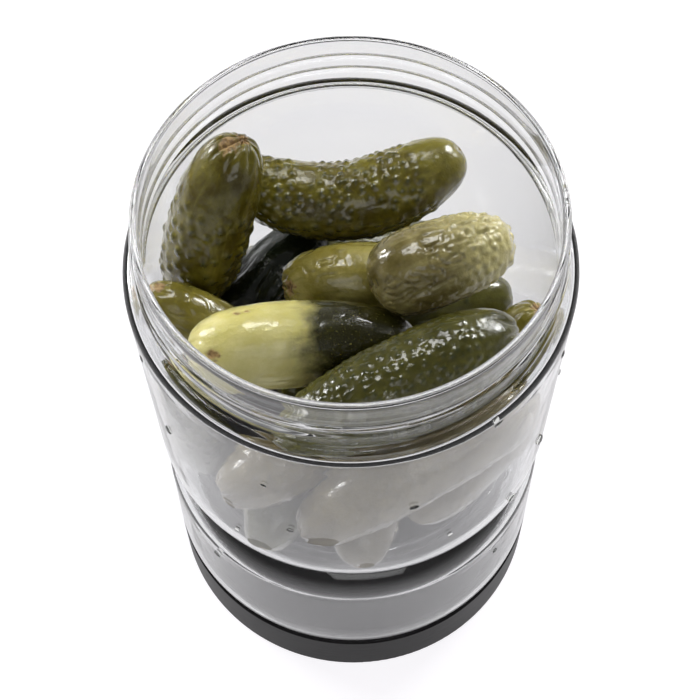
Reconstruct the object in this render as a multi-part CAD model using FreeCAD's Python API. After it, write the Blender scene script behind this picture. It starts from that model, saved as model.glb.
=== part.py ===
import FreeCAD, Part
import math
import os
from collections import namedtuple

# Two-chamber pickle jar, standing on its foot lid, mouth open.
# Millimetres, +Z up, origin on the table under the middle of the foot lid.

# Overall
JAR_HEIGHT = 168.8
NECK_RADIUS = 50.0
NECK_LENGTH = 18.6
NECK_FILLET = 0.8
LIP_ROUND = 0.6
WALL = 1.7

# Upper chamber: outside radius under its shoulder, and how much it draws in
# on the way down to the waist
UPPER_RADIUS = 54.2
UPPER_DRAW = 0.8
SHOULDER_ROUND = 1.6

# Waist where the two halves of the body are welded together
WAIST_HEIGHT = 67.2
WAIST_GROOVE = 6.6
WAIST_RADIUS = 42.0
WAIST_ROUND = 2.2
CHAMBER_ROUND = 9.0

# Lower chamber
LOWER_RADIUS = 53.5
LOWER_DRAW = 0.5

# Foot lid, screwed on the lower neck
LID_HEIGHT = 19.3
LID_WALL = 1.8
LID_FLOOR = 2.2
LID_ROUND = 1.2
LID_RIM_ROUND = 0.5
LID_GAP = 1.3

# Strainer lying on the floor of the upper chamber, its collar in the waist
STRAINER_PLATE = 2.0
STRAINER_FIT = 0.3
STRAINER_COLLAR = 9.0
STRAINER_COLLAR_WALL = 1.6
SLOT_WIDTH = 2.4
SLOT_RINGS = ((6, 7.0, 11.0), (12, 22.0, 12.0))

# Gherkins. The girth follows a superellipse along the spine, with a flat
# scar at each end.
FULLNESS = 2.7
SCAR_ANGLE = 84
SECTIONS = 11
BALLS = 13
SEAT = 0.25
WALL_SEAT = 0.3
PUSHES = 60

# length, greatest radius, swell towards the tip, bow of the spine, then where
# the middle lies: share of the chamber's inside radius, bearing, height over
# the strainer, and the way the tip points: heading, tilt, roll of the bow.
Gherkin = namedtuple(
    "Gherkin", "length radius swell bow reach bearing height heading tilt roll"
)

GHERKINS = {
    "gherkin_upright": Gherkin(51, 10.5, -0.05, 3, 0.701, 154.5, 57.5, 46, 65, 0),
    "gherkin_back": Gherkin(63, 10.2, 0.09, -11, 0.552, 99.2, 56.0, 2, 3, 50),
    "gherkin_crown": Gherkin(37, 10.6, -0.12, 1, 0.437, 14.9, 67.5, 20, 2, 0),
    "gherkin_short": Gherkin(40, 9.6, 0.03, 2, 0.154, 73.9, 51.0, 186, 7, 0),
    "gherkin_pale": Gherkin(56, 10.4, 0.13, 3, 0.275, 201.8, 51.0, 188, 9, 0),
    "gherkin_left": Gherkin(44, 8.2, -0.05, 1, 0.589, 170.3, 42.0, 162, 36, 0),
    "gherkin_front": Gherkin(64, 10.4, 0.0, 3, 0.515, 293.3, 58.5, 27, 3, 0),
    "gherkin_dark": Gherkin(46, 9.0, 0.0, 2, 0.45, 146, 32.0, 50, 10, 0),
    "gherkin_right": Gherkin(44, 8.4, 0.0, 2, 0.46, 28, 26.5, 12, 4, 0),
    "gherkin_side": Gherkin(42, 8.2, 0.0, 2, 0.79, 0, 21.0, 30, 72, 0),
    "gherkin_under": Gherkin(54, 9.2, 0.0, 2, 0.65, 76, 20.5, 5, 0, 0),
    "gherkin_pane_left": Gherkin(42, 9.2, 0.0, 2, 0.53, 249, 27.0, 205, 4, 0),
    "gherkin_pane_long": Gherkin(64, 9.8, 0.0, 2, 0.74, 293, 31.5, 23, 20, 0),
    "gherkin_pane_low": Gherkin(42, 9.0, 0.0, 1, 0.55, 277, 9.0, 262, -3, 0),
    "gherkin_pane_right": Gherkin(46, 9.0, 0.0, 2, 0.75, 320, 17.5, 40, 14, 0),
    "gherkin_low_left": Gherkin(44, 9.2, 0.0, 2, 0.575, 238, 9.0, 250, -3, 0),
    "gherkin_wall_left": Gherkin(42, 8.6, 0.0, 1, 0.79, 199, 20.5, 120, 75, 0),
    "gherkin_bed_left": Gherkin(50, 9.4, 0.0, 2, 0.54, 137, 9.0, 110, 0, 0),
    "gherkin_bed_right": Gherkin(52, 9.4, 0.0, 2, 0.535, 25, 9.0, 60, 0, 0),
}

# Levels and radii that follow from the sizes above
NECK_BORE = NECK_RADIUS - WALL
NECK_FOOT = JAR_HEIGHT - NECK_LENGTH
LOWER_FOOT = LID_HEIGHT + LID_GAP
UPPER_FLOOR = WAIST_HEIGHT + WAIST_GROOVE / 2 + WALL
UPPER_CEILING = NECK_FOOT - WALL
WAIST_BORE = WAIST_RADIUS - WALL
STRAINER_TOP = UPPER_FLOOR + STRAINER_PLATE
STRAINER_EDGE = UPPER_RADIUS - UPPER_DRAW - CHAMBER_ROUND - STRAINER_FIT


def rounded_profile(corners):
    """Closed face in the XZ half-plane from (radius, height, rounding) corners."""
    edges = []
    count = len(corners)
    ends = []
    for i, (r, z, rounding) in enumerate(corners):
        here = FreeCAD.Vector(r, 0, z)
        before = FreeCAD.Vector(corners[i - 1][0], 0, corners[i - 1][1]) - here
        after_corner = corners[(i + 1) % count]
        after = FreeCAD.Vector(after_corner[0], 0, after_corner[1]) - here
        if not rounding:
            ends.append((here, here))
            continue
        half = before.getAngle(after) / 2
        before.normalize()
        after.normalize()
        cut = rounding / math.tan(half)
        enter = here + before * cut
        leave = here + after * cut
        inward = before + after
        inward.normalize()
        middle = here + inward * (rounding / math.sin(half) - rounding)
        edges.append(Part.Arc(enter, middle, leave).toShape())
        ends.append((enter, leave))
    for i in range(count):
        start = ends[i][1]
        stop = ends[(i + 1) % count][0]
        if start.distanceToPoint(stop) > 1e-6:
            edges.append(Part.LineSegment(start, stop).toShape())
    wire = Part.Wire(Part.__sortEdges__(edges))
    return Part.Face(wire)


def revolved(corners):
    """Solid of revolution about Z of a rounded profile."""
    face = rounded_profile(corners)
    return face.revolve(FreeCAD.Vector(0, 0, 0), FreeCAD.Vector(0, 0, 1), 360)


def chamber(side, radius, draw, shoulder, lip):
    """Half of the clear body, from the waist seam to its lip.

    side is 1 for the upper half and -1 for the lower one.
    """
    end = WAIST_HEIGHT + side * WAIST_GROOVE / 2
    under_shoulder = shoulder - side * WALL
    return revolved([
        (WAIST_RADIUS, WAIST_HEIGHT, 0),
        (WAIST_RADIUS, end, WAIST_ROUND),
        (radius - draw, end, CHAMBER_ROUND),
        (radius, shoulder, SHOULDER_ROUND),
        (NECK_RADIUS, shoulder, NECK_FILLET),
        (NECK_RADIUS, lip, LIP_ROUND),
        (NECK_BORE, lip, LIP_ROUND),
        (NECK_BORE, under_shoulder, 0),
        (radius - WALL, under_shoulder, 0),
        (radius - draw - WALL, end + side * WALL, CHAMBER_ROUND - WALL),
        (WAIST_BORE, end + side * WALL, 0),
        (WAIST_BORE, WAIST_HEIGHT, 0),
    ])


def foot_lid():
    """Smooth black screw lid that closes the lower neck and is the foot."""
    bore = LOWER_RADIUS - LID_WALL
    return revolved([
        (0, 0, 0),
        (LOWER_RADIUS, 0, LID_ROUND),
        (LOWER_RADIUS, LID_HEIGHT, LID_RIM_ROUND),
        (bore, LID_HEIGHT, LID_RIM_ROUND),
        (bore, LID_FLOOR, 0),
        (0, LID_FLOOR, 0),
    ])


def strainer_slot(start, length):
    """Cutter for one straight slot that points away from the axis."""
    low = UPPER_FLOOR - STRAINER_PLATE
    corner = FreeCAD.Vector(start, -SLOT_WIDTH / 2, low)
    return Part.makeBox(length, SLOT_WIDTH, 3 * STRAINER_PLATE, corner)


def strainer():
    """Slotted plate on the chamber floor, with a collar down in the waist."""
    collar_edge = WAIST_BORE - STRAINER_FIT
    collar_foot = UPPER_FLOOR - STRAINER_COLLAR
    body = revolved([
        (0, STRAINER_TOP, 0),
        (STRAINER_EDGE, STRAINER_TOP, 0),
        (STRAINER_EDGE, UPPER_FLOOR, 0),
        (collar_edge, UPPER_FLOOR, 0),
        (collar_edge, collar_foot, 0),
        (collar_edge - STRAINER_COLLAR_WALL, collar_foot, 0),
        (collar_edge - STRAINER_COLLAR_WALL, UPPER_FLOOR, 0),
        (0, UPPER_FLOOR, 0),
    ])
    axis = FreeCAD.Vector(0, 0, 1)
    for count, start, length in SLOT_RINGS:
        for i in range(count):
            slot = strainer_slot(start, length)
            slot.rotate(FreeCAD.Vector(0, 0, 0), axis, 360 * i / count)
            body = body.cut(slot)
    return body


def girth(form, s):
    """Radius at s, which runs from -1 at the stem end to +1 at the tip."""
    full = (1 - abs(s) ** FULLNESS) ** (1 / FULLNESS)
    return form.radius * (1 + form.swell * s) * full


def spine(form, s):
    """Point on the bowed spine, in the gherkin's own frame, tip along +X."""
    return FreeCAD.Vector(form.length / 2 * s, 0, form.bow * (0.5 - s * s))


def placement(form, place):
    """Placement that turns a gherkin the way it points and moves it."""
    turn = FreeCAD.Rotation(form.heading, -form.tilt, -form.roll)
    return FreeCAD.Placement(place, turn)


def gherkin(form, place):
    """Loft through round sections along the bowed spine."""
    sections = []
    for i in range(SECTIONS):
        angle = SCAR_ANGLE * (2 * i / (SECTIONS - 1) - 1)
        s = math.sin(math.radians(angle))
        slope = math.atan2(-4 * form.bow * s, form.length)
        normal = FreeCAD.Vector(math.cos(slope), 0, math.sin(slope))
        ring = Part.Circle(spine(form, s), normal, girth(form, s))
        sections.append(Part.Wire(ring.toShape()))
    body = Part.makeLoft(sections, True, False)
    body.Placement = placement(form, place)
    return body


def inscribed(form, s):
    """Radius of the largest ball on the spine at s that stays inside."""
    steps = [i / 40 for i in range(-40, 41)]
    half = form.length / 2
    return min(math.hypot(half * (u - s), girth(form, u)) for u in steps)


def balls(form):
    """Balls along the spine, turned the way the gherkin points."""
    limit = 1 - 1.6 * form.radius / form.length
    turn = placement(form, FreeCAD.Vector(0, 0, 0))
    row = []
    for i in range(BALLS):
        s = limit * (2 * i / (BALLS - 1) - 1)
        row.append((turn.multVec(spine(form, s)), inscribed(form, s)))
    return row


def chamber_radius(height):
    """Inside radius of the upper chamber or its neck at a height."""
    if height > UPPER_CEILING:
        return NECK_BORE
    share = (height - UPPER_FLOOR) / (UPPER_CEILING - UPPER_FLOOR)
    return UPPER_RADIUS - WALL - UPPER_DRAW * (1 - share)


def push_from_wall(middle, radius):
    """Move that brings one ball off the wall, the neck's foot and the floor."""
    move = FreeCAD.Vector(0, 0, 0)
    away = FreeCAD.Vector(middle.x, middle.y, 0)
    reach = away.Length
    over = reach + radius + WALL_SEAT - chamber_radius(middle.z)
    edge = FreeCAD.Vector(NECK_BORE - reach, 0, UPPER_CEILING - middle.z)
    at_edge = radius + WALL_SEAT - edge.Length
    if over > 0:
        move -= away * (over / reach)
    elif 0 < edge.z < radius and edge.x > 0 and at_edge > 0:
        move -= away * (at_edge * edge.x / edge.Length / reach)
        move.z -= at_edge * edge.z / edge.Length
    move.z += max(0, STRAINER_TOP + radius + SEAT - middle.z)
    return move


def push_apart(row, other, gap):
    """Move that takes the first row of balls off the other, over the gap."""
    deepest = 0
    move = FreeCAD.Vector(0, 0, 0)
    for ball, radius in row:
        for other_ball, other_radius in other:
            line = ball + gap - other_ball
            depth = radius + other_radius + SEAT - line.Length
            if depth > deepest:
                deepest = depth
                move = line * (depth / line.Length)
    return move


def clear_drop(row, place, below):
    """Height by which a gherkin can sink before it meets what lies below."""
    drops = []
    for ball, radius in row:
        middle = ball + place
        drops.append(middle.z - radius - SEAT - STRAINER_TOP)
        for other_ball, other_radius, other_place in below:
            line = middle - other_ball - other_place
            reach = radius + other_radius + SEAT
            side = reach ** 2 - line.x ** 2 - line.y ** 2
            if line.z > 0 and side > 0:
                drops.append(line.z - math.sqrt(side))
    return max(0, min(drops))


def settled_places():
    """Where each gherkin comes to lie: pushed clear, then sunk till it rests."""
    names = list(GHERKINS)
    rows = {name: balls(GHERKINS[name]) for name in names}
    places = {}
    for name, form in GHERKINS.items():
        reach = form.reach * (UPPER_RADIUS - WALL)
        bearing = math.radians(form.bearing)
        x = reach * math.cos(bearing)
        y = reach * math.sin(bearing)
        places[name] = FreeCAD.Vector(x, y, STRAINER_TOP + form.height)
    for _ in range(PUSHES):
        for i, name in enumerate(names):
            for other in names[i + 1:]:
                gap = places[name] - places[other]
                room = GHERKINS[name].length + GHERKINS[other].length
                if gap.Length < room / 2:
                    move = push_apart(rows[name], rows[other], gap) * 0.5
                    places[name] += move
                    places[other] -= move
        for name in names:
            for ball, radius in rows[name]:
                places[name] += push_from_wall(ball + places[name], radius)
    below = []
    for name in sorted(names, key=lambda key: places[key].z):
        places[name].z -= clear_drop(rows[name], places[name], below)
        below += [(ball, radius, places[name]) for ball, radius in rows[name]]
    return places


def main():
    """Build every piece and write one STEP file for each."""
    os.makedirs("parts", exist_ok=True)
    pieces = {
        "upper_chamber": chamber(1, UPPER_RADIUS, UPPER_DRAW, NECK_FOOT, JAR_HEIGHT),
        "lower_chamber": chamber(-1, LOWER_RADIUS, LOWER_DRAW, LOWER_FOOT, LID_FLOOR),
        "foot_lid": foot_lid(),
        "strainer": strainer(),
    }
    for name, place in settled_places().items():
        pieces[name] = gherkin(GHERKINS[name], place)
    for name, shape in pieces.items():
        shape.exportStep("parts/" + name + ".step")
        print(name, shape.isValid(), round(shape.Volume / 1000, 2), "cm3")


main()
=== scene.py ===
"""Visual model of a two-chamber pickle jar that stands on its screw lid.

Metres, +Z up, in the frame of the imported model. Each sub-assembly is a class
that builds its meshes and dresses them, and each finish is a small frozen
dataclass that makes one procedural material.
"""
import logging
import math
from dataclasses import dataclass, field
from enum import Enum

import bpy
import numpy as np
from mathutils import Matrix, Vector


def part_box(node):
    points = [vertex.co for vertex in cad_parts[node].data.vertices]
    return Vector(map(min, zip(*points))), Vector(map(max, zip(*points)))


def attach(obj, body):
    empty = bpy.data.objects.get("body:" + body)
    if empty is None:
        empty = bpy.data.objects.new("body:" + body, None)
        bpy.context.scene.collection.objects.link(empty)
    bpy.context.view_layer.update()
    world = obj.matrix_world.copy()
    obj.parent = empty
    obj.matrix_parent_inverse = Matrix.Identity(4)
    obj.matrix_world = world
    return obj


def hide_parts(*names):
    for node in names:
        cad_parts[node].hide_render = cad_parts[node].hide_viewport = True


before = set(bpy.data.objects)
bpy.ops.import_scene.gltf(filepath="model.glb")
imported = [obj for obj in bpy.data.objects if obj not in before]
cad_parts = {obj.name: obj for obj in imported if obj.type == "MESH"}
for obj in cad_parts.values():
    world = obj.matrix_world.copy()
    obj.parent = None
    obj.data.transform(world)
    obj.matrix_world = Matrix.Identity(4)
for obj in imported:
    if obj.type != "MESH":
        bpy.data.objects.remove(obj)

LOG = logging.getLogger("pickle_jar")
MM = 0.001
SCAR_SINE = math.sin(math.radians(84))

Colour = tuple[float, float, float]


# ---------------------------------------------------------------- shader maths


class Value:
    """A shader socket that takes part in Python expressions."""

    def __init__(self, graph: "Graph", socket: bpy.types.NodeSocket) -> None:
        """Wrap a socket of a graph.

        Args:
            graph: The graph that new Math nodes go into.
            socket: The output socket that carries the value.
        """
        self.graph = graph
        self.socket = socket

    def _math(self, operation: str, first: object, second: object) -> "Value":
        """One Math node on two values or numbers.

        Args:
            operation: The Math node's operation.
            first: The upper input.
            second: The lower input.

        Returns:
            The node's output as a Value.
        """
        made = self.graph.node("ShaderNodeMath", {"operation": operation}, {0: first, 1: second})
        return Value(self.graph, made.outputs[0])

    def __add__(self, other: object) -> "Value":
        """Sum."""
        return self._math("ADD", self, other)

    __radd__ = __add__

    def __mul__(self, other: object) -> "Value":
        """Product."""
        return self._math("MULTIPLY", self, other)

    __rmul__ = __mul__

    def __sub__(self, other: object) -> "Value":
        """Difference."""
        return self._math("SUBTRACT", self, other)

    def __rsub__(self, other: object) -> "Value":
        """Difference, the other way round."""
        return self._math("SUBTRACT", other, self)

    def __pow__(self, other: object) -> "Value":
        """Power."""
        return self._math("POWER", self, other)

    def larger(self, other: object) -> "Value":
        """The larger of two values."""
        return self._math("MAXIMUM", self, other)

    def smooth(self, low: float, high: float) -> "Value":
        """A smooth step from 0 at low to 1 at high.

        Args:
            low: Where the step starts.
            high: Where the step ends.

        Returns:
            The stepped value, held between 0 and 1.
        """
        made = self.graph.node(
            "ShaderNodeMapRange",
            {"interpolation_type": "SMOOTHSTEP"},
            {"Value": self, "From Min": low, "From Max": high},
        )
        return Value(self.graph, made.outputs["Result"])


class Graph:
    """The node tree of one material or world."""

    def __init__(self, owner: bpy.types.ID) -> None:
        """Empty the tree of a material or world.

        Args:
            owner: The material or world that gets the nodes.
        """
        owner.use_nodes = True
        self.owner = owner
        self.tree = owner.node_tree
        self.tree.nodes.clear()

    def node(self, kind: str, settings: dict | None = None, inputs: dict | None = None) -> bpy.types.Node:
        """Add a node.

        Args:
            kind: The node's type name.
            settings: Properties that are set before any input.
            inputs: Socket name or number to a number, colour, Value or socket.

        Returns:
            The new node.
        """
        made = self.tree.nodes.new(kind)
        for key, value in (settings or {}).items():
            setattr(made, key, value)
        for key, value in (inputs or {}).items():
            source = value.socket if isinstance(value, Value) else value
            if isinstance(source, bpy.types.NodeSocket):
                self.tree.links.new(source, made.inputs[key])
            elif isinstance(source, tuple) and made.inputs[key].type == "RGBA":
                made.inputs[key].default_value = (*source, 1.0)
            else:
                made.inputs[key].default_value = source
        return made

    def noise(self, place: object, scale: float, detail: float = 2.0, rough: float = 0.5) -> Value:
        """Noise between 0 and 1.

        Args:
            place: The vector that the noise is read at.
            scale: Features per metre.
            detail: Octaves.
            rough: Share of the finer octaves.

        Returns:
            The noise as a Value.
        """
        inputs = {"Vector": place, "Scale": scale, "Detail": detail, "Roughness": rough}
        return Value(self, self.node("ShaderNodeTexNoise", None, inputs).outputs[0])

    def stretch(self, place: object, scale: Colour) -> bpy.types.NodeSocket:
        """A vector scaled along its axes."""
        made = self.node("ShaderNodeVectorMath", {"operation": "MULTIPLY"}, {0: place, 1: scale})
        return made.outputs[0]

    def mix(self, share: object, under: object, over: object) -> bpy.types.NodeSocket:
        """A colour that goes from one to another as share goes from 0 to 1."""
        made = self.node("ShaderNodeMix", {"data_type": "RGBA"}, {0: share, 6: under, 7: over})
        return made.outputs[2]

    def attribute(self, name: str) -> bpy.types.Node:
        """The node that reads one of the mesh's own attributes."""
        return self.node("ShaderNodeAttribute", {"attribute_name": name})

    def bump(self, height: Value, depth: float, strength: float = 1.0) -> bpy.types.NodeSocket:
        """A bumped normal.

        Args:
            height: Height between 0 and 1.
            depth: How far 1 stands over 0, in metres.
            strength: Share of the full effect.

        Returns:
            The normal's socket.
        """
        inputs = {"Height": height, "Distance": depth, "Strength": strength}
        return self.node("ShaderNodeBump", None, inputs).outputs[0]

    def object_place(self) -> bpy.types.NodeSocket:
        """Place in the object's own axes."""
        return self.node("ShaderNodeTexCoord").outputs["Object"]

    def surface(self, shader: bpy.types.NodeSocket) -> None:
        """Use a shader as what shows."""
        kind = "ShaderNodeOutputWorld" if isinstance(self.owner, bpy.types.World) else "ShaderNodeOutputMaterial"
        self.node(kind, None, {"Surface": shader})


# ------------------------------------------------------------------- finishes


@dataclass(frozen=True)
class ClearWall:
    """Clear, polished wall that lets lamps through."""

    name: str = "clear_wall"
    tint: Colour = (0.975, 0.98, 0.985)
    shade: Colour = (0.9, 0.9, 0.91)
    ior: float = 1.5
    wave: float = 0.00012

    def build(self) -> bpy.types.Material:
        """Make the material."""
        graph = Graph(bpy.data.materials.new(self.name))
        place = graph.object_place()
        swirl = graph.noise(graph.stretch(place, (1.0, 1.0, 0.45)), 75.0, 2.0)
        dust = graph.noise(place, 900.0, 2.0).smooth(0.66, 0.74)
        glass = graph.node("ShaderNodeBsdfPrincipled", None, {
            "Base Color": self.tint,
            "IOR": self.ior,
            "Transmission Weight": 1.0,
            "Roughness": dust * 0.06,
            "Normal": graph.bump(swirl, self.wave),
        })
        clear = graph.node("ShaderNodeBsdfTransparent", None, {"Color": self.shade})
        shadow = graph.node("ShaderNodeLightPath").outputs["Is Shadow Ray"]
        mixed = graph.node("ShaderNodeMixShader", None, {0: shadow, 1: glass.outputs[0], 2: clear.outputs[0]})
        graph.surface(mixed.outputs[0])
        return graph.owner


@dataclass(frozen=True)
class BlackPlastic:
    """Satin black moulding with a faint grain and rubbed specks."""

    name: str = "black_plastic"
    colour: Colour = (0.013, 0.0122, 0.0128)
    rubbed: Colour = (0.026, 0.0245, 0.026)
    rough: float = 0.26

    def build(self) -> bpy.types.Material:
        """Make the material."""
        graph = Graph(bpy.data.materials.new(self.name))
        place = graph.object_place()
        rings = graph.noise(graph.stretch(place, (60.0, 60.0, 1400.0)), 1.0, 2.0)
        grain = graph.noise(place, 2600.0, 2.0)
        wear = graph.noise(place, 320.0, 3.0).smooth(0.55, 0.75)
        shader = graph.node("ShaderNodeBsdfPrincipled", None, {
            "Base Color": graph.mix(wear * 0.6, self.colour, self.rubbed),
            "Roughness": self.rough + 0.12 * rings + 0.06 * wear,
            "Specular IOR Level": 0.06,
            "Normal": graph.bump(grain * 0.6 + rings * 0.4, 0.00004),
        })
        graph.surface(shader.outputs[0])
        return graph.owner


@dataclass(frozen=True)
class Skin:
    """Wet skin of a gherkin, from its own mesh attributes.

    Attributes read: skin (place in the straightened gherkin, metres), run
    (-1 at the stem, 1 at the tip), wart and scar (0 to 1).
    """

    name: str
    deep: Colour
    light: Colour
    # Colour towards the tip; in the skins of the pale and the short gherkin it is painted shade.
    tip: Colour
    wart: Colour
    tip_from: float = 0.4
    tip_to: float = 1.1
    tip_share: float = 0.5
    blotch: float = 0.5
    streak: float = 0.35
    rough: float = 0.16
    wet: float = 1.0
    glow: float = 0.08
    scar: Colour = (0.34, 0.22, 0.08)
    scar_dark: Colour = (0.13, 0.07, 0.02)

    def build(self) -> bpy.types.Material:
        """Make the material."""
        graph = Graph(bpy.data.materials.new(self.name))
        skin = graph.attribute("skin").outputs["Vector"]
        run = Value(graph, graph.attribute("run").outputs["Fac"])
        wart = Value(graph, graph.attribute("wart").outputs["Fac"])
        scar = Value(graph, graph.attribute("scar").outputs["Fac"])
        mottle = graph.noise(skin, 130.0, 4.0, 0.6)
        streaks = graph.noise(graph.stretch(skin, (45.0, 420.0, 420.0)), 1.0, 2.0)
        fine = graph.noise(skin, 900.0, 3.0, 0.6)
        pores = graph.noise(skin, 1900.0, 1.0)
        colour = graph.mix(mottle.smooth(0.3, 0.72), self.deep, self.light)
        colour = graph.mix(streaks.smooth(0.52, 0.75) * self.streak, colour, self.tip)
        # Blend towards the tip colour: the skin's own tone, and painted shade in the skins of the pale and the short
        # gherkin.
        turned = (run + (mottle - 0.5) * self.blotch).smooth(self.tip_from, self.tip_to)
        colour = graph.mix(turned * self.tip_share, colour, self.tip)
        colour = graph.mix(pores.smooth(0.66, 0.8) * 0.35, colour, self.deep)
        colour = graph.mix(wart * 0.9, colour, self.wart)
        bark = graph.mix(fine.smooth(0.35, 0.65), self.scar_dark, self.scar)
        colour = graph.mix(scar, colour, bark)
        relief = fine * 0.7 + pores * 0.3
        shader = graph.node("ShaderNodeBsdfPrincipled", {"subsurface_method": "RANDOM_WALK"}, {
            "Base Color": colour,
            "Roughness": self.rough + 0.12 * mottle + 0.35 * scar,
            "IOR": 1.42,
            "Coat Weight": self.wet * graph.noise(skin, 260.0, 2.0).smooth(0.3, 0.55) * (1.0 - scar * 0.7),
            "Coat Roughness": 0.02,
            "Coat IOR": 1.42,
            "Subsurface Weight": self.glow,
            "Subsurface Radius": (1.0, 0.7, 0.25),
            "Subsurface Scale": 0.003,
            "Normal": graph.bump(relief, 0.00024, 0.8),
        })
        graph.surface(shader.outputs[0])
        return graph.owner


@dataclass(frozen=True)
class Water:
    """Clear drop of brine."""

    name: str = "brine"

    def build(self) -> bpy.types.Material:
        """Make the material."""
        graph = Graph(bpy.data.materials.new(self.name))
        ripple = graph.noise(graph.object_place(), 700.0, 1.0)
        drop = graph.node("ShaderNodeBsdfPrincipled", None, {
            "Base Color": (0.97, 0.98, 0.95),
            "IOR": 1.34,
            "Roughness": 0.0,
            "Transmission Weight": 1.0,
            "Normal": graph.bump(ripple, 0.00005),
        })
        clear = graph.node("ShaderNodeBsdfTransparent")
        shadow = graph.node("ShaderNodeLightPath").outputs["Is Shadow Ray"]
        mixed = graph.node("ShaderNodeMixShader", None, {0: shadow, 1: drop.outputs[0], 2: clear.outputs[0]})
        graph.surface(mixed.outputs[0])
        return graph.owner


# --------------------------------------------------------------- mesh helpers


def smooth_object(name: str, points: np.ndarray, faces: list, material: bpy.types.Material) -> bpy.types.Object:
    """Make a smooth-shaded mesh object with one material.

    Args:
        name: The object's name.
        points: Vertices, one row each.
        faces: Vertex numbers of each face.
        material: What it is dressed in.

    Returns:
        The linked object.
    """
    mesh = bpy.data.meshes.new(name)
    mesh.from_pydata(points.tolist(), [], faces)
    mesh.polygons.foreach_set("use_smooth", [True] * len(mesh.polygons))
    mesh.materials.append(material)
    mesh.update()
    made = bpy.data.objects.new(name, mesh)
    bpy.context.scene.collection.objects.link(made)
    return made


def grid_faces(rows: int, columns: int, closed: bool = False) -> list:
    """Quads of a grid whose columns close into a ring.

    Args:
        rows: Rings of vertices.
        columns: Vertices in a ring.
        closed: Whether the last ring also joins the first.

    Returns:
        Vertex numbers of each quad.
    """
    numbers = np.arange(rows * columns).reshape(rows, columns)
    if closed:
        numbers = np.vstack([numbers, numbers[:1]])
    turned = np.roll(numbers, -1, axis=1)
    quads = np.stack([numbers[:-1], numbers[1:], turned[1:], turned[:-1]], axis=-1)
    return quads.reshape(-1, 4).tolist()


def rounded(corners: list, steps: int = 5) -> list:
    """A closed outline with its corners rounded.

    Args:
        corners: (radius, height, rounding) of each corner.
        steps: Points on each rounding, less one.

    Returns:
        (radius, height) points.
    """
    outline = []
    for i, (r, z, rounding) in enumerate(corners):
        here = Vector((r, z))
        if not rounding:
            outline.append((r, z))
            continue
        before = (Vector(corners[i - 1][:2]) - here).normalized()
        after = (Vector(corners[(i + 1) % len(corners)][:2]) - here).normalized()
        half = before.angle(after) / 2
        centre = here + (before + after).normalized() * rounding / math.sin(half)
        reach = rounding / math.tan(half)
        start = here + before * reach - centre
        turn = start.angle_signed(here + after * reach - centre)
        for k in range(steps + 1):
            angle = -turn * k / steps
            cosine, sine = math.cos(angle), math.sin(angle)
            spoke = Vector((start.x * cosine - start.y * sine, start.x * sine + start.y * cosine))
            outline.append(tuple(centre + spoke))
    return outline


def divided(outline: list, radius: float, fine: float, coarse: float) -> np.ndarray:
    """A closed outline with its long stretches divided.

    Args:
        outline: (radius, height) points.
        radius: Radius of the stretches that get fine steps.
        fine: Longest step there.
        coarse: Longest step elsewhere.

    Returns:
        One row for each point.
    """
    points = []
    for i, start in enumerate(outline):
        stop = outline[(i + 1) % len(outline)]
        threaded = max(abs(start[0] - radius), abs(stop[0] - radius)) < 0.01 * MM
        pieces = max(1, math.ceil(math.dist(start, stop) / (fine if threaded else coarse)))
        points += [(start[0] + (stop[0] - start[0]) * k / pieces, start[1] + (stop[1] - start[1]) * k / pieces)
                   for k in range(pieces)]
    return np.array(points)


class Lattice:
    """Smooth repeating noise on a lattice of random values."""

    SIDE = 32

    def __init__(self, seed: int) -> None:
        """Draw the lattice's values.

        Args:
            seed: Seed of the random draw.
        """
        self.values = np.random.default_rng(seed).random((self.SIDE,) * 3)

    def at(self, points: np.ndarray, size: float | tuple) -> np.ndarray:
        """Noise between 0 and 1.

        Args:
            points: Places, one row each.
            size: Size of the noise's features, or one for each axis.

        Returns:
            One number for each point.
        """
        scaled = points / np.array(size)
        base = np.floor(scaled).astype(int)
        part = scaled - base
        part = part * part * (3 - 2 * part)
        total = np.zeros(len(points))
        for corner in np.ndindex(2, 2, 2):
            at = (base + corner) % self.SIDE
            weight = np.prod(np.where(np.array(corner) == 1, part, 1 - part), axis=1)
            total += weight * self.values[at[:, 0], at[:, 1], at[:, 2]]
        return total


def step(values: np.ndarray, low: float, high: float) -> np.ndarray:
    """A smooth step from 0 at low to 1 at high."""
    share = np.clip((values - low) / (high - low), 0, 1)
    return share * share * (3 - 2 * share)


# ------------------------------------------------------------------ sub-parts


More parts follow.
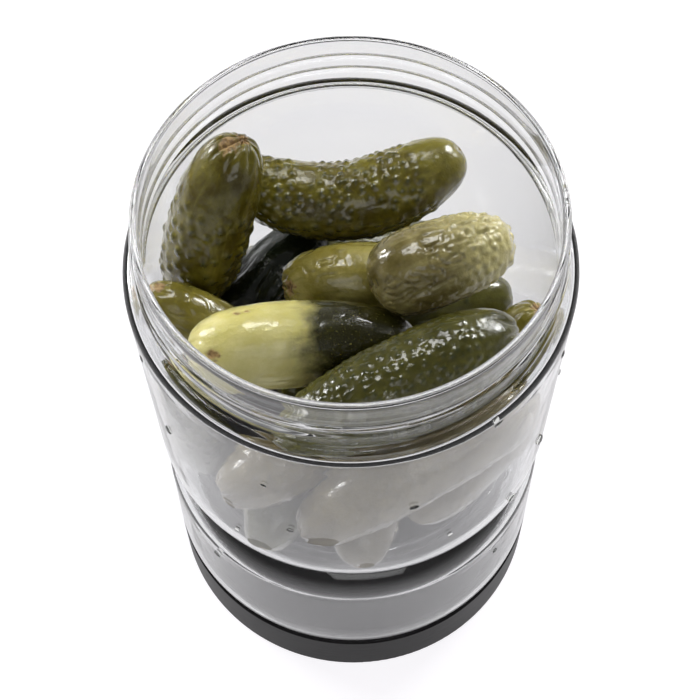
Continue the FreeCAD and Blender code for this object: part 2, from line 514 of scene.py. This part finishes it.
@dataclass
class JarWall:
    """Clear hourglass body with the screw thread of the upper neck."""

    neck_radius: float = 50.0 * MM
    neck_length: float = 18.6 * MM
    wall: float = 1.7 * MM
    upper_radius: float = 54.2 * MM
    upper_draw: float = 0.8 * MM
    shoulder_round: float = 3.0 * MM
    lower_shoulder_round: float = 2.4 * MM
    waist_height: float = 67.2 * MM
    waist_groove: float = 6.6 * MM
    waist_radius: float = 42.0 * MM
    waist_round: float = 2.2 * MM
    chamber_round: float = 9.0 * MM
    lower_radius: float = 53.5 * MM
    lower_draw: float = 0.5 * MM
    lower_foot: float = 20.6 * MM
    lip_round: float = 0.6 * MM
    neck_fillet: float = 0.8 * MM
    thread_height: float = 1.1 * MM
    thread_half: float = 1.1 * MM
    thread_pitch: float = 4.8 * MM
    thread_turns: float = 1.75
    thread_top: float = 6.2 * MM
    segments: int = 288

    def bore(self, height: np.ndarray) -> np.ndarray:
        """Inside radius of the upper chamber and its neck.

        Args:
            height: Heights over the table.

        Returns:
            The radius at each height.
        """
        ceiling = self.foot_of_neck() - self.wall
        floor = self.waist_height + self.waist_groove / 2 + self.wall
        share = (height - floor) / (ceiling - floor)
        chamber = self.upper_radius - self.wall - self.upper_draw * (1 - share)
        return np.where(height > ceiling, self.neck_radius - self.wall, chamber)

    def outside(self, height: np.ndarray) -> np.ndarray:
        """Outside radius of the two chambers.

        Args:
            height: Heights over the table.

        Returns:
            The radius at each height.
        """
        high = self.upper_radius - 0.4 * self.upper_draw
        return np.where(height > self.waist_height, high, self.lower_radius - 0.5 * self.lower_draw)

    def foot_of_neck(self) -> float:
        """Height of the upper neck's foot."""
        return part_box("upper_chamber")[1].z - self.neck_length

    def outline(self) -> list:
        """Rounded section of the wall, outside first."""
        top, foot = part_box("upper_chamber")[1].z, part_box("lower_chamber")[0].z
        neck, bore = self.neck_radius, self.neck_radius - self.wall
        shoulder = self.foot_of_neck()
        above = self.waist_height + self.waist_groove / 2
        below = self.waist_height - self.waist_groove / 2
        wall, inner = self.wall, self.chamber_round - self.wall
        upper = self.upper_radius - self.upper_draw
        lower = self.lower_radius - self.lower_draw
        return rounded([
            (neck, top, self.lip_round),
            (neck, shoulder, self.neck_fillet),
            (self.upper_radius, shoulder, self.shoulder_round),
            (upper, above, self.chamber_round),
            (self.waist_radius, above, self.waist_round),
            (self.waist_radius, below, self.waist_round),
            (lower, below, self.chamber_round),
            (self.lower_radius, self.lower_foot, self.lower_shoulder_round),
            (neck, self.lower_foot, self.neck_fillet),
            (neck, foot, self.lip_round),
            (bore, foot, self.lip_round),
            (bore, self.lower_foot + wall, self.neck_fillet + wall),
            (self.lower_radius - wall, self.lower_foot + wall, self.lower_shoulder_round - wall),
            (lower - wall, below - wall, inner),
            (self.waist_radius - wall, below - wall, self.neck_fillet),
            (self.waist_radius - wall, above + wall, self.neck_fillet),
            (upper - wall, above + wall, inner),
            (self.upper_radius - wall, shoulder - wall, self.shoulder_round - wall),
            (bore, shoulder - wall, self.neck_fillet + wall),
            (bore, top, self.lip_round),
        ])

    def thread(self, radius: np.ndarray, drop: np.ndarray, turn: np.ndarray) -> np.ndarray:
        """How far the screw thread stands out of the neck.

        Args:
            radius: Radius of each point.
            drop: Distance of each point below the neck's lip.
            turn: Turn about the axis, 0 to 1.

        Returns:
            Height of the thread at each point.
        """
        outside = np.abs(radius - self.neck_radius) < 0.01 * MM
        rise = np.zeros_like(radius)
        for lap in range(math.ceil(self.thread_turns) + 1):
            along = turn + lap
            off = np.abs(drop - self.thread_top - self.thread_pitch * along)
            ends = step(along, 0.0, 0.06) * step(self.thread_turns - along, 0.0, 0.06)
            rise = np.maximum(rise, (1 - step(off, 0.25 * self.thread_half, self.thread_half)) * ends)
        return np.where(outside, rise * self.thread_height, 0)

    def build(self, material: bpy.types.Material) -> bpy.types.Object:
        """Turn the section about the axis and raise the threads.

        Args:
            material: The clear wall's finish.

        Returns:
            The jar's wall.
        """
        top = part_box("upper_chamber")[1].z
        section = divided(self.outline(), self.neck_radius, 0.35 * MM, 5 * MM)
        turns = np.arange(self.segments) / self.segments
        radius = np.repeat(section[:, 0], self.segments)
        height = np.repeat(section[:, 1], self.segments)
        turn = np.tile(turns, len(section))
        radius = radius + self.thread(radius, top - height, turn)
        angle = turn * math.tau
        points = np.stack([radius * np.cos(angle), radius * np.sin(angle), height], axis=1)
        made = smooth_object("jar_wall", points, grid_faces(len(section), self.segments, True), material)
        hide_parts("upper_chamber", "lower_chamber")
        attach(made, "root")
        return made


@dataclass
class Drops:
    """Drops of brine on the outside of the wall."""

    places: tuple = (
        (212.5, 115.0, 1.3), (333.5, 96.0, 1.5), (285.5, 119.0, 1.2), (320.5, 82.0, 1.4), (253.0, 104.0, 0.9),
        (307.5, 146.0, 1.3), (203.0, 138.0, 1.1), (338.0, 136.0, 1.2), (247.0, 128.0, 0.8), (297.0, 91.0, 0.7),
        (224.0, 50.5, 1.2), (318.0, 47.0, 0.9), (236.0, 88.0, 0.7), (343.0, 118.0, 0.8),
    )
    swell: float = 0.42
    sides: int = 20

    def build(self, jar: JarWall, material: bpy.types.Material) -> bpy.types.Object:
        """Lay a flattened bead at each place.

        Args:
            jar: The wall that they hang on.
            material: The brine's finish.

        Returns:
            All the drops as one piece.
        """
        rings = self.sides // 2 + 1
        across = np.linspace(0, math.pi, rings)
        turns = np.arange(self.sides) / self.sides * math.tau
        points, faces = [], []
        for number, (bearing, height, size) in enumerate(self.places):
            angle = math.radians(bearing)
            radius = float(jar.outside(np.array([height * MM]))[0])
            out = np.array([math.cos(angle), math.sin(angle), 0])
            aside = np.array([-out[1], out[0], 0])
            ring = np.sin(across)[:, None] * size * MM
            sag = 1 + 0.25 * np.cos(turns)[None, :] * (number % 3)
            bead = (out * radius + np.array([0, 0, height * MM])
                    + (ring * np.sin(turns))[..., None] * aside
                    + (-ring * np.cos(turns) * sag)[..., None] * np.array([0, 0, 1])
                    + (np.cos(across)[:, None] * size * self.swell * MM * np.ones(self.sides))[..., None] * out)
            faces += (np.array(grid_faces(rings, self.sides)) + len(points) * rings * self.sides).tolist()
            points.append(bead.reshape(-1, 3))
        made = smooth_object("drops", np.concatenate(points), faces, material)
        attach(made, "root")
        return made


class Ends(Enum):
    """What an end of a gherkin shows."""

    PLAIN = "plain"
    STEM = "stem"
    CREASED = "creased"


@dataclass
class Warts:
    """Warts in uneven rows, sizes in metres."""

    spacing: float = 3.0 * MM
    width: float = 0.8 * MM
    height: float = 0.45 * MM
    start: float = -0.8
    stop: float = 0.75
    patchy: float = 0.25


@dataclass
class Gherkin:
    """One gherkin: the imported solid's spine and girth, with its real skin."""

    node: str
    skin: str
    stem_towards: Colour
    warts: Warts = field(default_factory=Warts)
    creases: float = 0.1
    shrivel: float = 0.0
    crease_size: float = 3.2 * MM
    folds: float = 0.25
    ribs: float = 0.12
    stem: Ends = Ends.STEM
    tip: Ends = Ends.PLAIN
    press: float = 0.0
    marks: tuple = ()
    rings: int = 150
    around: int = 168
    seed: int = 1

    def measure(self) -> None:
        """Read the spine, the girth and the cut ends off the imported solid."""
        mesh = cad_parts[self.node].data
        points = np.empty(len(mesh.vertices) * 3)
        mesh.vertices.foreach_get("co", points)
        points = points.reshape(-1, 3)
        mesh.calc_loop_triangles()
        numbers = np.empty(len(mesh.loop_triangles) * 3, dtype=np.int32)
        mesh.loop_triangles.foreach_get("vertices", numbers)
        corners = points[numbers.reshape(-1, 3)]
        normals = np.cross(corners[:, 1] - corners[:, 0], corners[:, 2] - corners[:, 0])
        areas = np.linalg.norm(normals, axis=1)
        normals = normals / np.maximum(areas, 1e-16)[:, None]
        centres = corners.mean(axis=1)
        middle = np.average(centres, axis=0, weights=areas)
        spread = centres - middle
        axis = np.linalg.eigh((spread * areas[:, None]).T @ spread)[1][:, -1]
        if axis @ np.array(self.stem_towards) > 0:
            axis = -axis
        run = spread @ axis
        ends = []
        for side in (-1, 1):
            near = side * run > 0.8 * np.max(side * run)
            largest = np.argmax(np.where(near, areas, 0))
            flat = near & (normals @ normals[largest] > 0.999)
            ends.append(np.average(centres[flat], axis=0, weights=areas[flat]))
        halfway = (ends[0] + ends[1]) / 2
        belt = np.abs((centres - halfway) @ axis) < 2 * MM
        self.start = np.average(centres[belt], axis=0, weights=areas[belt])
        self.along = (ends[1] - ends[0]) / (2 * SCAR_SINE)
        self.bend = (halfway - self.start) / SCAR_SINE ** 2
        share = np.clip((points - self.start) @ self.along / (self.along @ self.along), -1, 1)
        for _ in range(6):
            away = points - self.spine(share)
            tangent = self.tangent(share)
            share = np.clip(share + np.sum(away * tangent, axis=1) / np.sum(tangent ** 2, axis=1),
                            -SCAR_SINE, SCAR_SINE)
        distance = np.linalg.norm(points - self.spine(share), axis=1)
        angles = np.degrees(np.arcsin(share))
        stops = np.arange(-82, 83, 4)
        girth = [np.mean(distance[np.abs(angles - stop) < 2.5]) for stop in stops]
        self.stops, self.girth = np.sin(np.radians(stops)), np.array(girth)

    def spine(self, share: np.ndarray) -> np.ndarray:
        """Points on the spine."""
        return self.start + np.outer(share, self.along) + np.outer(share ** 2, self.bend)

    def tangent(self, share: np.ndarray) -> np.ndarray:
        """The spine's direction, not of unit length."""
        return self.along + np.outer(2 * share, self.bend)

    def profile(self) -> tuple[np.ndarray, np.ndarray]:
        """Share of the spine and girth of each ring, rounded at the ends.

        Returns:
            The spine's share and the radius, from stem to tip.
        """
        half = float(np.linalg.norm(self.along))
        along = np.concatenate([[-SCAR_SINE], self.stops, [SCAR_SINE]]) * half
        cut = 0.55 * self.girth[[0, -1]]
        radius = np.concatenate([cut[:1], self.girth, cut[1:]])
        along = np.concatenate([[along[0]], along, [along[-1]]])
        radius = np.concatenate([[0.0], radius, [0.0]])
        length = np.concatenate([[0], np.cumsum(np.hypot(np.diff(along), np.diff(radius)))])
        grain = 0.1 * MM
        even = np.arange(0, length[-1], grain)
        along, radius = np.interp(even, length, along), np.interp(even, length, radius)
        reach = 24
        bell = np.exp(-0.5 * (np.arange(-reach, reach + 1) / 9) ** 2)
        bell /= bell.sum()
        along = np.concatenate([along[reach:0:-1], along, along[-2:-reach - 2:-1]])
        radius = np.concatenate([-radius[reach:0:-1], radius, -radius[-2:-reach - 2:-1]])
        along, radius = np.convolve(along, bell, "valid"), np.convolve(radius, bell, "valid")
        rings = np.linspace(0, len(along) - 1, self.rings)
        picks = np.arange(len(along))
        return np.interp(rings, picks, along) / half, np.interp(rings, picks, radius).clip(0)

    def wart_rise(self, flat: np.ndarray, run: np.ndarray, noise: Lattice) -> tuple[np.ndarray, np.ndarray]:
        """Height and shade of the warts.

        Args:
            flat: Places in the straightened gherkin.
            run: -1 at the stem to 1 at the tip.
            noise: The gherkin's own noise.

        Returns:
            Height in metres and shade from 0 to 1, for each place.
        """
        warts = self.warts
        draw = np.random.default_rng(self.seed + 100)
        half = float(np.linalg.norm(self.along))
        centres, sizes = [], []
        for i, at in enumerate(np.arange(-half, half, warts.spacing * 0.87)):
            radius = float(np.interp(at / half, self.stops, self.girth))
            count = max(3, round(math.tau * radius / warts.spacing))
            for k in range(count):
                angle = math.tau * (k + 0.5 * (i % 2) + draw.normal(0, 0.16)) / count
                along = at + draw.normal(0, 0.16) * warts.spacing
                centres.append((along, radius * math.cos(angle), radius * math.sin(angle)))
                sizes.append(draw.uniform(0.45, 1.2))
        centres, sizes = np.array(centres), np.array(sizes)
        keep = noise.at(centres + 0.1, 9 * MM) > warts.patchy
        centres, sizes = centres[keep], sizes[keep]
        zone = step(run, warts.start, warts.start + 0.25) * (1 - step(run, warts.stop - 0.25, warts.stop))
        rise, shade = np.zeros(len(flat)), np.zeros(len(flat))
        for first in range(0, len(flat), 4000):
            part = slice(first, first + 4000)
            apart = np.linalg.norm(flat[part, None] - centres[None], axis=2)
            nearest = np.argmin(apart, axis=1)
            off = apart[np.arange(len(nearest)), nearest] / warts.width
            size = sizes[nearest] * zone[part]
            rise[part] = size * (np.exp(-off ** 2) - 0.3 * np.exp(-(off / 0.4) ** 2))
            shade[part] = size.clip(0, 1) * np.exp(-(off / 0.8) ** 2)
        return rise * warts.height, shade

    def blemishes(self, points: np.ndarray, flat: np.ndarray, rough: np.ndarray) -> np.ndarray:
        """Shade of the dried marks away from the ends.

        Args:
            points: Places of the smooth body.
            flat: The same places in the straightened gherkin.
            rough: Noise that makes their edges ragged.

        Returns:
            0 to 1 for each place.
        """
        shade = np.zeros(len(flat))
        for place, size in self.marks:
            nearest = np.argmin(np.linalg.norm(points - np.array(place) * MM, axis=1))
            apart = np.linalg.norm(flat - flat[nearest], axis=1) / (size * MM)
            shade = np.maximum(shade, 1 - step(apart + (rough - 0.5) * 1.5, 0.55, 1.2))
        return shade

    def relief(self, points: np.ndarray, flat: np.ndarray, run: np.ndarray, turn: np.ndarray,
               cut: np.ndarray) -> dict:
        """Everything that stands out of or sinks into the smooth body.

        Args:
            points: Places of the smooth body.
            flat: Places in the straightened gherkin.
            run: -1 at the stem to 1 at the tip.
            turn: Angle about the spine.
            cut: Distance from the spine.

        Returns:
            The rise in metres and the wart and scar shades.
        """
        noise = Lattice(self.seed)
        radius = float(self.girth.max())
        rise = (noise.at(flat, 16 * MM) - 0.5) * 0.9 * MM
        rise += (noise.at(flat + 0.03, 5 * MM) - 0.5) * 0.25 * MM
        rise += np.cos(3 * turn + self.seed) * 0.018 * radius
        ribs = noise.at(np.stack([flat[:, 0] / 9, flat[:, 1], flat[:, 2]], axis=1), 3.2 * MM)
        rise += (ribs - 0.5) * self.ribs * 2 * MM
        web = noise.at(flat + 0.07, (1.7 * self.crease_size, self.crease_size, self.crease_size))
        web = (1 - np.abs(2 * web - 1)) ** 8
        where = step(noise.at(flat + 0.05, 10 * MM), 0.45 - 0.3 * self.shrivel, 0.7)
        rise -= web * where * (self.creases + self.shrivel) * MM
        fine = noise.at(flat, 0.9 * MM) - 0.5
        rise += fine * (0.09 + 0.12 * self.shrivel) * MM
        warts, shade = self.wart_rise(flat, run, noise)
        rise += warts
        scar = self.blemishes(points, flat, noise.at(flat + 0.02, 0.9 * MM))
        rise -= scar * noise.at(flat + 0.04, 0.7 * MM) * 0.35 * MM
        for side, kind in ((-1, self.stem), (1, self.tip)):
            here = side * run > 0.5
            if kind is Ends.CREASED:
                fold = np.abs(np.sin(4.5 * turn + 2 * noise.at(flat, 6 * MM)))
                near = step(side * run, 0.72, 0.98) * (1 - step(side * run, 0.985, 1.0) * 0.5)
                rise -= here * near * (1 - fold) ** 2 * 1.1 * MM
            rough = noise.at(flat + 0.02, 1.1 * MM)
            size = (2.1 if kind is Ends.STEM else 1.0) * MM
            edge = 1 - step(cut + (rough - 0.5) * 1.6 * MM, 0.7 * size, 1.25 * size)
            mark = np.where(here, edge, 0)
            if kind is Ends.STEM:
                rise += mark * (rough - 0.75) * 0.9 * MM
                fold = np.abs(np.sin(4.5 * turn + 3 * noise.at(flat, 7 * MM)))
                rise -= here * step(side * run, 0.7, 0.95) * (1 - fold) ** 2 * self.folds * MM
                ring = np.exp(-((cut - 1.9 * size) / (0.8 * size)) ** 2) * here
                rise += ring * 0.25 * MM * np.cos(9 * turn + self.seed) * 0.6
            scar = np.maximum(scar, mark * (1.0 if kind is Ends.STEM else 0.6))
        return {"rise": rise, "wart": shade, "scar": scar}

    def build(self, material: bpy.types.Material, jar: JarWall) -> bpy.types.Object:
        """Skin the spine with rings, raise the relief and press it to the wall.

        Args:
            material: The skin's finish.
            jar: The wall that it may lie against.

        Returns:
            The gherkin.
        """
        self.measure()
        share, radius = self.profile()
        tangent = self.tangent(share)
        tangent /= np.linalg.norm(tangent, axis=1)[:, None]
        side = np.cross(self.along, self.bend)
        if np.linalg.norm(side) < 1e-12:
            side = np.cross(self.along, (0.3, 0.2, 0.9))
        side /= np.linalg.norm(side)
        lift = np.cross(side, tangent)
        turns = np.arange(self.around) / self.around * math.tau
        slope = np.gradient(radius, share * np.linalg.norm(self.along) + 1e-9 * np.arange(len(share)))
        tilt = np.arctan(slope)
        spoke = (np.cos(turns)[None, :, None] * side[None, None, :]
                 + np.sin(turns)[None, :, None] * lift[:, None, :])
        outward = spoke * np.cos(tilt)[:, None, None] - tangent[:, None, :] * np.sin(tilt)[:, None, None]
        middle = self.spine(share)[:, None, :]
        points = (middle + spoke * radius[:, None, None]).reshape(-1, 3)
        outward = outward.reshape(-1, 3)
        half = float(np.linalg.norm(self.along))
        run = np.repeat(share, self.around)
        turn = np.tile(turns, self.rings)
        cut = np.repeat(radius, self.around)
        flat = np.stack([run * half, cut * np.cos(turn), cut * np.sin(turn)], axis=1)
        looks = self.relief(points, flat, run, turn, cut)
        points = points + outward * looks["rise"][:, None]
        points = self.against_wall(points, jar)
        made = smooth_object(self.node + "_skin", points, self.closed_faces(), material)
        self.store(made.data, "skin", "FLOAT_VECTOR", flat + 0.07 * self.seed)
        self.store(made.data, "run", "FLOAT", run)
        self.store(made.data, "wart", "FLOAT", looks["wart"])
        self.store(made.data, "scar", "FLOAT", looks["scar"])
        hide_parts(self.node)
        "pale_gherkin_skin" if self.node in PALE else "gherkin_skin"
        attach(made, "root")
        return made

    def closed_faces(self) -> list:
        """Quads between the rings, with one flat face over each end."""
        faces = grid_faces(self.rings, self.around)
        last = (self.rings - 1) * self.around
        faces.append(list(range(self.around)))
        faces.append(list(range(last, last + self.around))[::-1])
        return faces

    def against_wall(self, points: np.ndarray, jar: JarWall) -> np.ndarray:
        """Lay the gherkin against the wall and flatten it where it touches.

        Args:
            points: The gherkin's points.
            jar: The wall.

        Returns:
            The moved points.
        """
        into = 0.08 * MM
        reach = np.hypot(points[:, 0], points[:, 1])
        over = reach - jar.bore(points[:, 2])
        if self.press:
            worst = int(np.argmax(over))
            move = self.press - over[worst]
            points = points + np.array([points[worst, 0], points[worst, 1], 0]) / reach[worst] * move
            reach = np.hypot(points[:, 0], points[:, 1])
        limit = jar.bore(points[:, 2]) + into
        factor = np.minimum(1, limit / np.maximum(reach, 1e-9))
        return points * np.stack([factor, factor, np.ones_like(factor)], axis=1)

    @staticmethod
    def store(mesh: bpy.types.Mesh, name: str, kind: str, values: np.ndarray) -> None:
        """Keep numbers on a mesh's points.

        Args:
            mesh: The mesh.
            name: The attribute's name.
            kind: FLOAT or FLOAT_VECTOR.
            values: One row for each point.
        """
        made = mesh.attributes.new(name, kind, "POINT")
        made.data.foreach_set("vector" if kind == "FLOAT_VECTOR" else "value", values.ravel())


PALE = ("gherkin_pale", "gherkin_pane_left")
LEFT, RIGHT, UP = (-1.0, 0.0, 0.0), (1.0, 0.0, 0.0), (0.0, 0.0, 1.0)


@dataclass
class Pile:
    """All the gherkins in the upper chamber."""

    def skins(self) -> list:
        """The finishes that the gherkins share."""
        olive = Skin("olive", (0.054, 0.041, 0.002), (0.12, 0.103, 0.008), (0.17, 0.15, 0.028), (0.03, 0.036, 0.012))
        dark = Skin("dark", (0.032, 0.03, 0.003), (0.066, 0.061, 0.007), (0.09, 0.085, 0.016), (0.026, 0.031, 0.011))
        # The black skin's near-black colours are painted shade: this gherkin sits deep in a gap between the others.
        black = Skin("black", (0.004, 0.006, 0.003), (0.012, 0.016, 0.008), (0.02, 0.024, 0.012), (0.008, 0.01, 0.006),
                     wet=1.0, rough=0.1)
        brown = Skin("brown", (0.085, 0.066, 0.014), (0.21, 0.175, 0.06), (0.4, 0.355, 0.15), (0.31, 0.28, 0.12),
                     tip_from=-0.25, tip_to=0.6, tip_share=0.95, wet=1.0)
        # The pale skin's near-black tip colour is painted shade where this gherkin runs under the others.
        pale = Skin("pale", (0.46, 0.415, 0.13), (0.6, 0.55, 0.235), (0.02, 0.019, 0.002), (0.28, 0.25, 0.07),
                    tip_from=-0.22, tip_to=0.16, tip_share=1.0, blotch=0.6, streak=0.12, glow=0.1)
        # Straw skin whose darker tip colour is painted shade of the crown over that end.
        straw = Skin("straw", (0.2, 0.165, 0.026), (0.34, 0.295, 0.08), (0.08, 0.07, 0.012), (0.1, 0.1, 0.03),
                     tip_from=0.0, tip_to=0.8, tip_share=0.85, wet=1.0)
        # Brownish skin, greyed and low in contrast: painted haze of the wall's reflections over gherkins seen through
        # the glass.
        dull = Skin("dull", (0.1, 0.078, 0.034), (0.16, 0.13, 0.062), (0.19, 0.16, 0.09), (0.09, 0.075, 0.038))
        fresh = Skin("fresh", (0.115, 0.095, 0.011), (0.2, 0.17, 0.03), (0.14, 0.125, 0.022), (0.1, 0.095, 0.022))
        return [olive, dark, black, brown, pale, fresh, straw, dull]

    def gherkins(self) -> list:
        """Every gherkin of the pile, the ones in plain view first."""
        smooth = Warts(height=0.0, stop=-0.7)
        few = Warts(spacing=4.4 * MM, height=0.4 * MM, width=0.75 * MM, patchy=0.35)
        shown = [
            Gherkin("gherkin_upright", "olive", UP,
                    Warts(spacing=3.9 * MM, width=0.95 * MM, height=0.75 * MM, start=-0.5, stop=1.2, patchy=0.15),
                    press=0.2 * MM, folds=0.7, marks=(((-29.1, 27.1, 157.1), 2.6),)),
            Gherkin("gherkin_back", "olive", LEFT,
                    Warts(spacing=3.0 * MM, width=0.85 * MM, height=0.62 * MM, start=-1.2, stop=0.85, patchy=0.12),
                    press=0.3 * MM, stem=Ends.PLAIN),
            Gherkin("gherkin_crown", "brown", LEFT,
                    Warts(spacing=2.8 * MM, width=0.85 * MM, height=0.6 * MM, start=0.0, stop=1.2, patchy=0.1),
                    shrivel=0.6, crease_size=1.5 * MM, stem=Ends.PLAIN),
            # The short gherkin's darker right end is painted shade.
            Gherkin("gherkin_short", "straw", LEFT, smooth, creases=0.2, shrivel=0.25, crease_size=2.0 * MM,
                    marks=(((-15.4, 5.2, 124.6), 2.4),)),
            # Its dark right end is painted shade.
            Gherkin("gherkin_pale", "pale", LEFT, smooth, tip=Ends.PLAIN, creases=0.25, crease_size=4.0 * MM,
                    marks=(((-33.0, -21.3, 138.8), 1.5), ((-27.0, -10.6, 140.7), 0.9), ((-25.2, -10.2, 141.0), 0.9))),
            Gherkin("gherkin_left", "fresh", LEFT, smooth, creases=0.3, ribs=0.3, press=0.3 * MM,
                    marks=(((-45.9, 2.4, 132.2), 1.8),)),
            Gherkin("gherkin_front", "dark", RIGHT,
                    Warts(spacing=2.4 * MM, width=0.7 * MM, height=0.45 * MM, start=-0.75, stop=1.2, patchy=0.08),
                    stem=Ends.CREASED, ribs=0.3),
            # Near-black skin: painted shade of the gap this gherkin lies in.
            Gherkin("gherkin_dark", "black", RIGHT, smooth, creases=0.4, ribs=0.9),
            Gherkin("gherkin_right", "dark", LEFT, few),
            Gherkin("gherkin_side", "fresh", UP, Warts(spacing=2.6 * MM), press=0.4 * MM),
        ]
        hidden = [
            Gherkin("gherkin_under", "dark", LEFT, few, press=0.3 * MM),
            # The pane gherkins wear the skin with painted haze of the wall's reflections.
            Gherkin("gherkin_pane_left", "dull", LEFT, few, press=0.3 * MM),
            Gherkin("gherkin_pane_long", "dull", LEFT, few, press=0.7 * MM),
            Gherkin("gherkin_pane_low", "dull", UP, few, press=0.4 * MM),
            Gherkin("gherkin_pane_right", "dull", RIGHT, few, press=0.6 * MM),
            Gherkin("gherkin_low_left", "dark", UP, Warts(), press=0.6 * MM),
            Gherkin("gherkin_wall_left", "dark", UP, Warts(), press=0.7 * MM),
            Gherkin("gherkin_bed_left", "dark", LEFT, few),
            Gherkin("gherkin_bed_right", "olive", LEFT, few),
        ]
        for gherkin in hidden:
            gherkin.rings, gherkin.around = 96, 96
        return shown + hidden

    def build(self, jar: JarWall) -> list:
        """Build and dress every gherkin.

        Args:
            jar: The wall that some lie against.

        Returns:
            The built objects.
        """
        materials = {skin.name: skin.build() for skin in self.skins()}
        made = []
        for seed, gherkin in enumerate(self.gherkins(), start=1):
            gherkin.seed = seed
            made.append(gherkin.build(materials[gherkin.skin], jar))
        return made


@dataclass
class Mouldings:
    """The black foot lid and strainer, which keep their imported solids."""

    nodes: tuple = ("foot_lid", "strainer")

    def dress(self, material: bpy.types.Material) -> list:
        """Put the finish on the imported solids.

        Args:
            material: The black moulding's finish.

        Returns:
            The dressed objects.
        """
        dressed = []
        for name in self.nodes:
            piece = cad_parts[name]
            for slot in piece.material_slots:
                slot.material = material
            dressed.append(piece)
        return dressed


# --------------------------------------------------------------------- studio


@dataclass
class Studio:
    """Plain floor, soft lamps and the camera."""

    camera_place: Colour = (0.0, -0.1974, 0.4724)
    pitch: float = 61.65
    roll: float = 0.907
    yaw: float = 0.241
    lens: float = 82.29
    shift: tuple = (0.00204, -0.01323)
    floor_half: float = 2.5
    floor_tone: float = 0.3
    floor_tint: Colour = (0.985, 0.97, 1.0)
    floor_glow: float = 0.4
    floor_seen: float = 0.5
    floor_mirrored: float = 0.2
    fill: float = 0.1
    sweep_share: float = 0.5
    sweep_low: float = 0.05
    sweep_high: float = 0.4
    aim_height: float = 0.12
    lamps: tuple = (
        ("left_softbox", (-0.72, 0.45, 0.55), 0.28, 5.5),
        ("right_softbox", (0.62, 0.62, 0.58), 0.28, 5.5),
        ("back_softbox", (0.0, 0.48, 1.02), 0.34, 3.2),
        ("front_softbox", (0.1, -0.8, 1.0), 0.6, 1.5),
    )

    def camera(self) -> None:
        """Place the camera, looking down into the mouth."""
        data = bpy.data.cameras.new("camera")
        data.lens = self.lens
        data.sensor_width = 36.0
        data.shift_x, data.shift_y = self.shift
        data.clip_start = 0.01
        made = bpy.data.objects.new("camera", data)
        turn = (Matrix.Rotation(math.radians(self.yaw), 4, "Z")
                @ Matrix.Rotation(math.radians(90 - self.pitch), 4, "X")
                @ Matrix.Rotation(-math.radians(self.roll), 4, "Z"))
        made.matrix_world = Matrix.Translation(self.camera_place) @ turn
        bpy.context.scene.collection.objects.link(made)
        bpy.context.scene.camera = made

    def softbox(self, name: str, place: Colour, size: float, power: float) -> None:
        """A square lamp that faces the gherkins.

        Args:
            name: The lamp's name.
            place: Where it hangs.
            size: Length of a side.
            power: Watts.
        """
        data = bpy.data.lights.new(name, "AREA")
        data.size = size
        data.energy = power
        made = bpy.data.objects.new(name, data)
        made.location = place
        aim = Vector((0, 0, self.aim_height)) - Vector(place)
        made.rotation_euler = aim.to_track_quat("-Z", "Y").to_euler()
        bpy.context.scene.collection.objects.link(made)

    def floor(self) -> None:
        """A wide pale floor that keeps a faint shadow."""
        material = bpy.data.materials.new("pale_floor")
        graph = Graph(material)
        path = graph.node("ShaderNodeLightPath")
        glossy = Value(graph, path.outputs["Is Glossy Ray"])
        camera = Value(graph, path.outputs["Is Camera Ray"])
        mirrored = Value(graph, path.outputs["Is Transmission Ray"]).larger(glossy)
        shown = camera * self.floor_seen + mirrored * self.floor_mirrored
        diffuse = graph.node("ShaderNodeBsdfDiffuse", None, {"Color": (self.floor_tone,) * 3})
        bright = graph.node("ShaderNodeEmission", None, {
            "Color": self.floor_tint,
            "Strength": self.floor_glow + shown,
        })
        both = graph.node("ShaderNodeAddShader", None, {0: diffuse.outputs[0], 1: bright.outputs[0]})
        graph.surface(both.outputs[0])
        half = self.floor_half
        points = np.array([(-half, -half, 0), (half, -half, 0), (half, half, 0), (-half, half, 0)])
        smooth_object("floor", points, [(0, 1, 2, 3)], material)

    def world(self) -> None:
        """A paper sweep, bright at the horizon, under a dim studio ceiling."""
        world = bpy.data.worlds.new("studio")
        bpy.context.scene.world = world
        graph = Graph(world)
        camera = Value(graph, graph.node("ShaderNodeLightPath").outputs["Is Camera Ray"])
        split = graph.node("ShaderNodeSeparateXYZ", None, {0: graph.node("ShaderNodeTexCoord").outputs["Generated"]})
        sweep = 1.0 - Value(graph, split.outputs["Z"]).smooth(self.sweep_low, self.sweep_high)
        shown = camera.larger(sweep * self.sweep_share)
        back = graph.node("ShaderNodeBackground", None, {
            "Color": (1.0, 1.0, 1.0),
            "Strength": self.fill + shown * (1.0 - self.fill),
        })
        graph.surface(back.outputs[0])

    def build(self) -> None:
        """Set up the whole studio."""
        self.camera()
        self.floor()
        self.world()
        for lamp in self.lamps:
            self.softbox(*lamp)
        bpy.context.scene.view_settings.view_transform = "Standard"


def main() -> None:
    """Build every sub-assembly in order and report its pieces."""
    logging.basicConfig(level=logging.INFO, format="%(name)s: %(message)s")
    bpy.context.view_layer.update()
    Studio().build()
    jar = JarWall()
    built = [jar.build(ClearWall().build())]
    built += Mouldings().dress(BlackPlastic().build())
    built += Pile().build(jar)
    built.append(Drops().build(jar, Water().build()))
    for piece in built:
        LOG.info("%s: %d faces", piece.name, len(piece.data.polygons))


if __name__ == "__main__":
    main()
